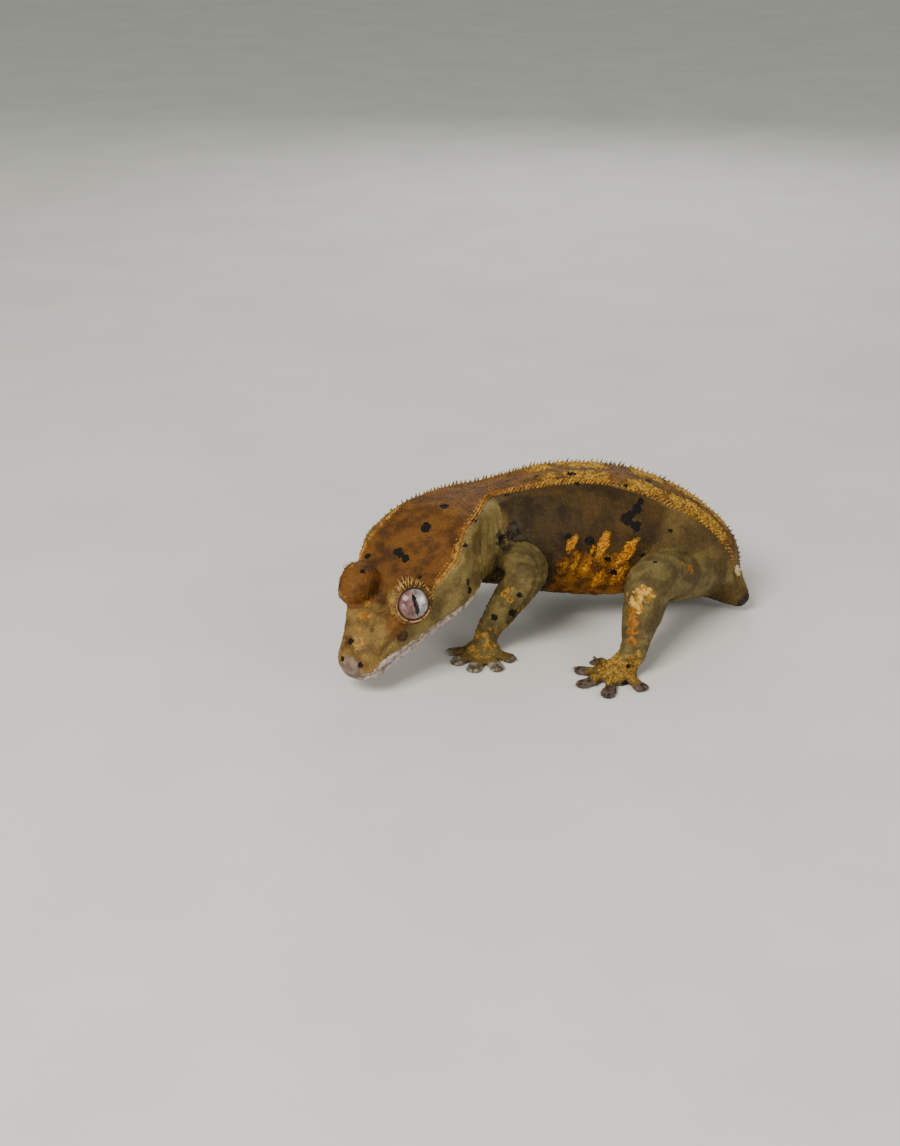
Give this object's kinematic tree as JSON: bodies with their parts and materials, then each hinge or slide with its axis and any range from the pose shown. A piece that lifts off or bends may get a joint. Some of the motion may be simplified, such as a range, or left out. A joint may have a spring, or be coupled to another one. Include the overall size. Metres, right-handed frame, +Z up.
{
  "type": "crested gecko",
  "caption": "Adult crested gecko at life size that has lost its tail, crouching with an arched back, its head low and turned to its left",
  "frame": {"origin": "middle of the footprint, on the floor the feet rest on", "axes": "+Z up, +X from the shoulders towards the tail stub, and the animal's left side faces -Y"},
  "size_m": [0.0763, 0.0768, 0.0272],
  "materials": {
    "skin": "granular matt skin",
    "lip": "fine-scaled satin skin",
    "eye": "wet and glossy",
    "stub": "dark healed skin"
  },
  "bodies": {
    "root": {"head": "skin", "neck": "skin", "torso_front": "skin", "torso_rear": "skin", "rump": "skin", "lower_jaw": "lip", "eye_left": "eye", "eye_right": "eye", "tail_stub": "stub", "upper_arm_left": "skin", "forearm_left": "skin", "front_foot_left": "skin", "thigh_left": "skin", "shank_left": "skin", "hind_foot_left": "skin", "upper_arm_right": "skin", "forearm_right": "skin", "front_foot_right": "skin", "thigh_right": "skin", "shank_right": "skin", "hind_foot_right": "skin"}
  },
  "joints": []
}
